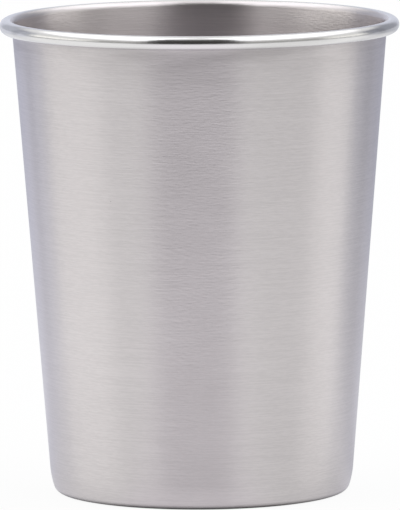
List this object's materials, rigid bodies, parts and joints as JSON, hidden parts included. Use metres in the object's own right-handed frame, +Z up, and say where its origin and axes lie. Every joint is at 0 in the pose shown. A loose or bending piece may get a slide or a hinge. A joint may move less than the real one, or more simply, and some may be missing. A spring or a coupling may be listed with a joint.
{
  "type": "julep cup",
  "caption": "Tapered single-walled steel drinking cup with a rolled rim over a wire, a rounded foot and a base pressed up in the middle.",
  "frame": {"origin": "centre of the ring the cup stands on, in the plane of the table", "axes": "+Z up along the cup's axis, from the foot to the mouth; X and Y are alike, because the cup is a body of revolution"},
  "size_m": [0.09, 0.09, 0.1072],
  "materials": {
    "satin_steel": "brushed round the axis outside and inside, polished on the rolled rim",
    "wire_steel": "plain drawn wire"
  },
  "bodies": {
    "root": {"cup_shell": "satin_steel", "rim_wire": "wire_steel"}
  },
  "joints": []
}
